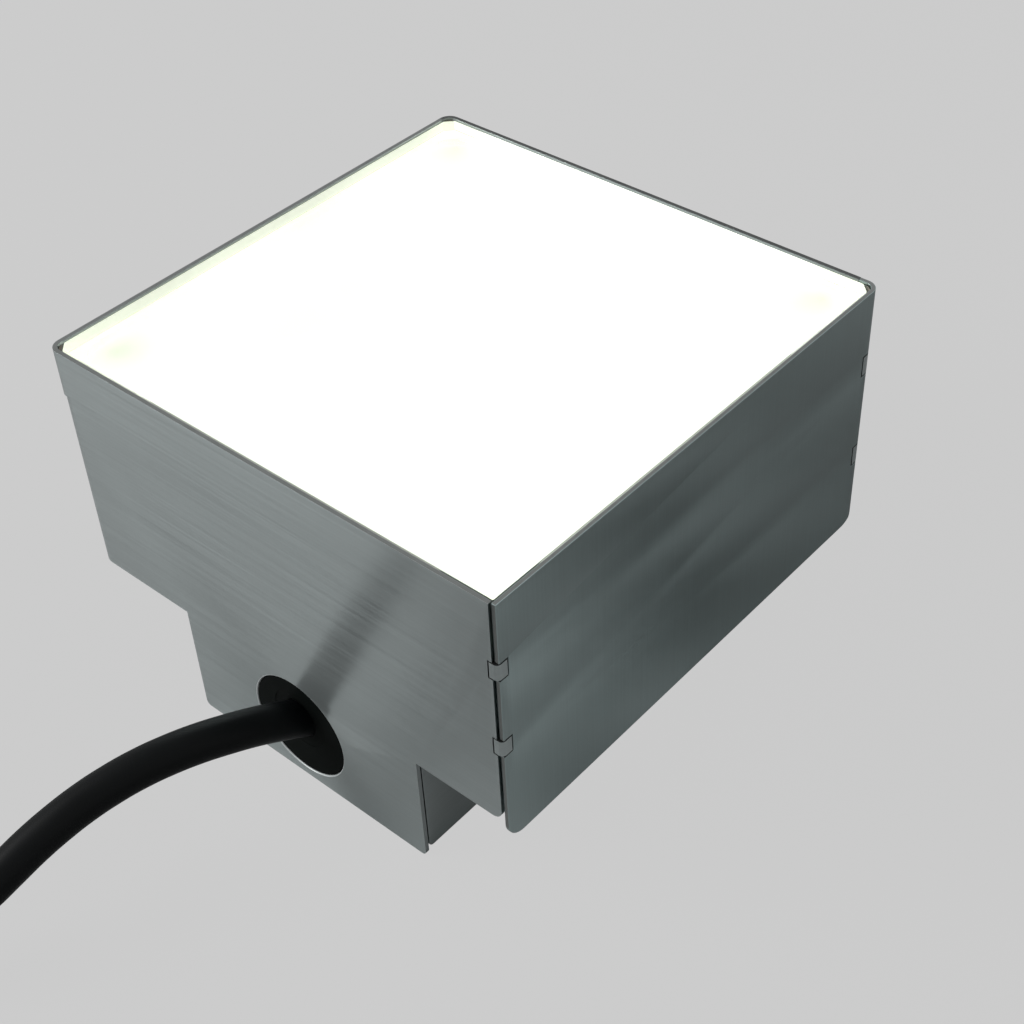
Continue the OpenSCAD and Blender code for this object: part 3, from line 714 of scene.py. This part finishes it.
def colorEdges(piece, *materials):
    for material in materials:
        piece.data.materials.append(material)
    for polygon in piece.data.polygons:
        place = polygon.center / mm
        if isTop(place, polygon.normal) or isSeam(place, polygon.normal):
            # rear rim faces take the painted shade, the others the duller cut edge
            polygon.material_index = 4 if place.y > cutEdges["rearEdgeY"] else 1
        elif isHole(place, polygon.normal):
            # the hole's chamfer takes the painted highlight
            polygon.material_index = 2
        elif isSlot(place, polygon.normal):
            # slot faces take the painted shade
            polygon.material_index = 3


def makeSheets():
    grain = {"grain": 900, "mottle": 300}
    cutEdge = moulded("cutEdge", cutEdges["rimTone"], roughness=0.42, Metallic=1, **grain)
    # painted highlight: a pale ring on the hole's chamfer
    paintedHoleHighlight = moulded("paintedHoleHighlight", cutEdges["holeHighlightTone"], roughness=0.4, Metallic=0.2, **grain)
    # painted shade: the slots round the bridges are dark inside
    slotShade = moulded("slotShade", cutEdges["slotShadeTone"], roughness=0.6, **grain)
    # painted shade: the rear rim is darker than the front one
    rearRimShade = moulded("rearRimShade", cutEdges["rearRimShadeTone"], roughness=0.42, Metallic=1, **grain)
    reshaped = {"foldedShell": shapeShell, "sidePanel": closeRearJoint}
    for name, sheet in sheets.items():
        finish = steel(name + "Steel", **sheet["brushed"])
        piece = easedCopy(sheet["node"], name, sheet["edge"], finish, reshaped.get(name))
        colorEdges(piece, cutEdge, paintedHoleHighlight, slotShade, rearRimShade)


dull = {"second": (0.005, 0.0065, 0.006), "roughness": 0.6, "Specular_IOR_Level": 0.03}
blackPlastic = moulded("blackPlastic", (0.004, 0.0055, 0.005), grain=1600, mottle=40, **dull)
sealRubber = moulded("sealRubber", (0.004, 0.005, 0.0045), grain=1400, **dull)
castResin = moulded(
    "castResin", (0.018, 0.019, 0.021), (0.024, 0.025, 0.027), roughness=0.2, grain=300, mottle=35
)
makeSheets()
easedCopy("housing_tub", "housingTub", 0.3, blackPlastic)
easedCopy("housing_foot", "housingFoot", 0.12, blackPlastic)
easedCopy("cable_seal", "cableSeal", 0.05, sealRubber)
easedCopy("potting_resin", "footResin", 0.3, castResin)
print("shell and housing dressed")


# clear pane, a hair smaller than its seat, whose ground edges carry painted glow: they emit a pale band
# standing in for the light passed on through the glass
pane = {
    "edge": 0.25,
    "shrink": 0.9985,
    "tint": (0.95, 1, 0.93, 1),
    "bending": 1.5,
    "haze": 0.012,
    "hazeScale": 18,
    "uprightBelow": 0.3,
    "rearAbove": 0.8,
    "rearGain": 0.15,
}


def clearGlass():
    material = bpy.data.materials.new("clearGlass")
    material.use_nodes = True
    tree = material.node_tree
    shader = tree.nodes["Principled BSDF"]
    place = addNode(tree, "TexCoord").outputs["Object"]
    haze = addNoise(tree, place, pane["hazeScale"], 3)
    tree.links.new(stretchRange(tree, haze, 0, pane["haze"]), shader.inputs["Roughness"])
    shader.inputs["Base Color"].default_value = pane["tint"]
    shader.inputs["Transmission Weight"].default_value = 1
    shader.inputs["IOR"].default_value = pane["bending"]
    return material


# lit white window: it fades towards its rounded edge, three of its corners have a dimmer spot, and no
# light leaves the sides by the open seam
glow = {
    "strength": 0.72,
    "centre": (0.5, 0.6, 0),
    "half": (47.6, 49),
    "corner": 10,
    "fade": 3,
    "spotCentre": (-1.2, 2.5, 0),
    "spot": 42,
    "spotRadius": 9,
    "falloff": 1.5,
    "seam": 38,
    "sideBelow": 0.5,
    "color": (1, 1, 0.985, 1),
    "edgeColor": (0.76, 0.78, 0.66, 1),
    "spotColor": (0.62, 0.65, 0.5, 1),
}


def mirroredPlace(group, place, centre):
    centre = [mm * part for part in centre]
    moved = addNode(group, "VectorMath", {0: place, 1: centre}, operation="SUBTRACT").outputs[0]
    mirrored = addNode(group, "VectorMath", {0: moved}, operation="ABSOLUTE").outputs[0]
    return addNode(group, "VectorMath", {0: mirrored, 1: (1, 1, 0)}, operation="MULTIPLY").outputs[0]


def makeGlowGroup():
    group, given, result = newGroup(
        "windowGlow",
        [
            ("Color", "Color", glow["color"]),
            ("Edge Color", "Color", glow["edgeColor"]),
            ("Spot Color", "Color", glow["spotColor"]),
            ("Fade", "Float", glow["fade"] * mm),
        ],
        [("Color", "Color")],
    )
    place = addNode(group, "TexCoord").outputs["Object"]
    flat = mirroredPlace(group, place, glow["centre"])
    inner = [(half - glow["corner"]) * mm for half in glow["half"]]
    past = addNode(group, "VectorMath", {0: flat, 1: (*inner, 0)}, operation="SUBTRACT").outputs[0]
    past = addNode(group, "VectorMath", {0: past, 1: (0, 0, 0)}, operation="MAXIMUM").outputs[0]
    reach = addNode(group, "VectorMath", {0: past}, operation="LENGTH").outputs["Value"]
    fadeStart = calculate(group, "SUBTRACT", glow["corner"] * mm, given.outputs["Fade"])
    edge = stretchRange(group, reach, 0, 1, fadeStart, glow["corner"] * mm)
    spotPlace = (glow["spot"] * mm, glow["spot"] * mm, 0)
    spotFlat = mirroredPlace(group, place, glow["spotCentre"])
    apart = addNode(group, "VectorMath", {0: spotFlat, 1: spotPlace}, operation="DISTANCE")
    spot = stretchRange(group, apart.outputs["Value"], 1, 0, 0, glow["spotRadius"] * mm)
    spot = calculate(group, "POWER", spot, glow["falloff"])
    sides = addNode(group, "SeparateXYZ", {0: place})
    right = calculate(group, "GREATER_THAN", sides.outputs["X"], 0)
    nearRight = calculate(group, "MULTIPLY", right, calculate(group, "LESS_THAN", sides.outputs["Y"], 0))
    spot = calculate(group, "MULTIPLY", spot, calculate(group, "SUBTRACT", 1, nearRight))
    tone = mixColor(group, spot, given.outputs["Color"], given.outputs["Spot Color"])
    edge = calculate(group, "POWER", edge, glow["falloff"])
    tone = mixColor(group, edge, tone, given.outputs["Edge Color"])
    normal = addNode(group, "NewGeometry").outputs["Normal"]
    facing = addNode(group, "SeparateXYZ", {0: normal}).outputs["Z"]
    onSide = calculate(group, "LESS_THAN", calculate(group, "ABSOLUTE", facing), glow["sideBelow"])
    farRight = calculate(group, "GREATER_THAN", sides.outputs["X"], glow["seam"] * mm)
    farFront = calculate(group, "LESS_THAN", sides.outputs["Y"], -glow["seam"] * mm)
    bySeam = calculate(group, "MULTIPLY", farRight, farFront)
    tone = mixColor(group, calculate(group, "MULTIPLY", onSide, bySeam), tone, (0, 0, 0, 1))
    group.links.new(tone, result.inputs["Color"])
    return group


glowGroup = makeGlowGroup()


# emission from the window's glow: the diffuser's own light, and painted glow on the frame, gasket,
# sealant and pane edges, which are no lamp
def glowing(name, color, strength, roughness=0.45):
    material = moulded(name, color, roughness=roughness)
    tree = material.node_tree
    shader = tree.nodes["Principled BSDF"]
    light = tree.nodes.new("ShaderNodeGroup")
    light.node_tree = glowGroup
    tree.links.new(light.outputs["Color"], shader.inputs["Emission Color"])
    shader.inputs["Emission Strength"].default_value = strength
    return material


def makeGlass():
    glass = easedCopy("glass", "glassPane", pane["edge"], clearGlass())
    pickOnly(glass)
    bpy.ops.object.mode_set(mode="EDIT")
    bpy.ops.mesh.select_all(action="SELECT")
    bpy.ops.transform.resize(value=(pane["shrink"], pane["shrink"], 1))
    bpy.ops.object.mode_set(mode="OBJECT")
    # painted glow: the pane's upright edges emit light, the rear one more
    glass.data.materials.append(glowing("groundEdgePaintedGlow", (0.68, 0.7, 0.64), glow["strength"]))
    glass.data.materials.append(glowing("litEdgePaintedGlow", (0.9, 0.9, 0.88), glow["strength"] + pane["rearGain"]))
    for polygon in glass.data.polygons:
        if abs(polygon.normal.z) < pane["uprightBelow"]:
            polygon.material_index = 2 if polygon.normal.y > pane["rearAbove"] else 1


makeGlass()

# the pieces that keep the construction's own mesh
plain = {
    # sealant, gasket and frame are no lamp: their emission is painted glow from the diffuser's light
    "edge_sealant": glowing("greySiliconePaintedGlow", (0.15, 0.155, 0.14), 0.06),
    "glass_corner_pads": moulded(
        "brownRubber", (0.5, 0.46, 0.38), (0.16, 0.1, 0.07), 0.6, grain=900, mottle=700
    ),
    "glass_gasket": glowing("paleGasketPaintedGlow", (0.8, 0.82, 0.76), glow["strength"]),
    "light_frame": glowing("whiteFramePaintedGlow", (0.86, 0.87, 0.82), glow["strength"]),
    "diffuser": glowing("litDiffuser", (0.9, 0.9, 0.88), glow["strength"]),
    "reflector_tray": moulded("whiteTray", (0.86, 0.87, 0.83), roughness=0.5),
    "led_board": moulded("whiteBoard", (0.8, 0.8, 0.76), roughness=0.35),
    "leds": moulded("lampPhosphor", (0.8, 0.68, 0.2), roughness=0.5),
    "board_screws": moulded("zincScrew", (0.55, 0.56, 0.56), roughness=0.3, Metallic=1),
    "heat_plate": moulded("aluminiumPlate", (0.6, 0.61, 0.62), roughness=0.4, Metallic=1),
    "seal_collar": blackPlastic,
    "inner_lead": cableRubber(),
    "inner_cores": moulded("innerCores", coreColors["Brown"], roughness=0.35),
    "terminal_block": moulded("terminalPlastic", (0.03, 0.2, 0.08), roughness=0.4),
    "driver_board": moulded("circuitBoard", (0.02, 0.12, 0.05), roughness=0.3),
    "transformer": moulded("ferriteCore", (0.06, 0.055, 0.05), roughness=0.6),
    "capacitors": moulded("capacitorSleeve", (0.02, 0.05, 0.14), roughness=0.35),
    "driver_chips": moulded("chipPlastic", (0.02, 0.02, 0.02), roughness=0.5),
    "led_leads": moulded("redInsulation", (0.45, 0.03, 0.02), roughness=0.4),
}
for name, material in plain.items():
    give(nodes[name], material)
print("light and inner pieces finished")


# studio: pale floor and surroundings, a soft lamp from the left and a weak one from behind
studio = {
    "pale": (0.604, 0.604, 0.604, 1),
    "floorSize": 8,
    "floorDrop": 0.1,
    "patchLift": 0.1,
    "floorShare": 0.95,
    "floorGlow": 1.023,
    "keyPlace": (-0.6, -0.6, 0.5),
    "keySize": 0.6,
    "keyPower": 6.3,
    "fillPlace": (0.5, 0.5, 0.5),
    "fillSize": 0.5,
    "fillPower": 1.2,
    "worldLight": 0.22,
}


def seenDirectly(tree, mirrorShare):
    path = addNode(tree, "LightPath")
    through = path.outputs["Is Transmission Ray"]
    seen = calculate(tree, "ADD", path.outputs["Is Camera Ray"], through, clamp=True)
    mirrored = calculate(tree, "MULTIPLY", path.outputs["Is Glossy Ray"], mirrorShare)
    return calculate(tree, "ADD", seen, mirrored, clamp=True)


def makeFloor():
    bpy.ops.object.select_all(action="DESELECT")
    bpy.ops.mesh.primitive_plane_add(size=studio["floorSize"], location=(0, 0, -studio["floorDrop"] * mm))
    floor = bpy.context.active_object
    floor.name = "studioFloor"
    material = bpy.data.materials.new("paleFloor")
    material.use_nodes = True
    tree = material.node_tree
    shader = tree.nodes["Principled BSDF"]
    shader.inputs["Base Color"].default_value = studio["pale"]
    shader.inputs["Roughness"].default_value = 1
    light = addNode(tree, "Emission", {"Color": studio["pale"], "Strength": studio["floorGlow"]})
    share = calculate(tree, "MULTIPLY", seenDirectly(tree, 0), studio["floorShare"])
    mix = addNode(tree, "MixShader", {0: share, 1: shader.outputs[0], 2: light.outputs[0]})
    tree.links.new(mix.outputs[0], tree.nodes["Material Output"].inputs["Surface"])
    give(floor, material)


def makeWorld():
    world = bpy.data.worlds.new("paleRoom")
    world.use_nodes = True
    bpy.context.scene.world = world
    tree = world.node_tree
    dim = tree.nodes["Background"]
    dim.inputs["Color"].default_value = studio["pale"]
    dim.inputs["Strength"].default_value = studio["worldLight"]
    bright = addNode(tree, "Background", {"Color": studio["pale"], "Strength": 1})
    mix = addNode(tree, "MixShader", {0: seenDirectly(tree, 1), 1: dim.outputs[0], 2: bright.outputs[0]})
    tree.links.new(mix.outputs[0], tree.nodes["World Output"].inputs["Surface"])


def addLamp(name):
    place = studio[name + "Place"]
    bpy.ops.object.select_all(action="DESELECT")
    bpy.ops.object.light_add(type="AREA", location=place)
    lamp = bpy.context.active_object
    lamp.name = name + "Lamp"
    lamp.data.size = studio[name + "Size"]
    lamp.data.energy = studio[name + "Power"]
    lamp.rotation_euler = (-Vector(place)).to_track_quat("-Z", "Y").to_euler()


# soft patches of painted light and painted shade on the floor, seen only in reflections, where the steel
# of the side plate mirrors the floor
patches = {
    "nearGlow": {"place": (62, 0), "radius": 22, "light": 0.1, "shade": 0},
    "sideShade": {"place": (85, 30), "radius": 22, "light": 0, "shade": 0.6},
    "rearGlow": {"place": (85, 60), "radius": 22, "light": 0.07, "shade": 0},
    "cornerGlow": {"place": (110, -20), "radius": 30, "light": 0.2, "shade": 0},
}


def addPatch(name, place, radius, light, shade):
    centre = (place[0] * mm, place[1] * mm, studio["patchLift"] * mm)
    bpy.ops.object.select_all(action="DESELECT")
    bpy.ops.mesh.primitive_circle_add(radius=radius * mm, fill_type="NGON", location=centre)
    bpy.ops.object.transform_apply()
    patch = bpy.context.active_object
    patch.name = name
    material = bpy.data.materials.new(name)
    material.use_nodes = True
    tree = material.node_tree
    here = addNode(tree, "TexCoord").outputs["Object"]
    away = addNode(tree, "VectorMath", {0: here, 1: centre}, operation="DISTANCE").outputs["Value"]
    lightHere = stretchRange(tree, away, light, 0, 0, radius * mm)
    passHere = stretchRange(tree, away, 1 - shade, 1, 0, radius * mm)
    bright = addNode(tree, "Emission", {"Strength": lightHere})
    clear = addNode(tree, "BsdfTransparent", {"Color": passHere})
    both = addNode(tree, "AddShader", {0: bright.outputs[0], 1: clear.outputs[0]})
    tree.links.new(both.outputs[0], tree.nodes["Material Output"].inputs["Surface"])
    give(patch, material)
    patch.visible_camera = False
    patch.visible_diffuse = False
    patch.visible_transmission = False
    patch.visible_shadow = False


makeFloor()
makeWorld()
addLamp("key")
addLamp("fill")
for name, patch in patches.items():
    addPatch(name, **patch)
bpy.context.scene.view_settings.view_transform = "Standard"
print("studio lit")
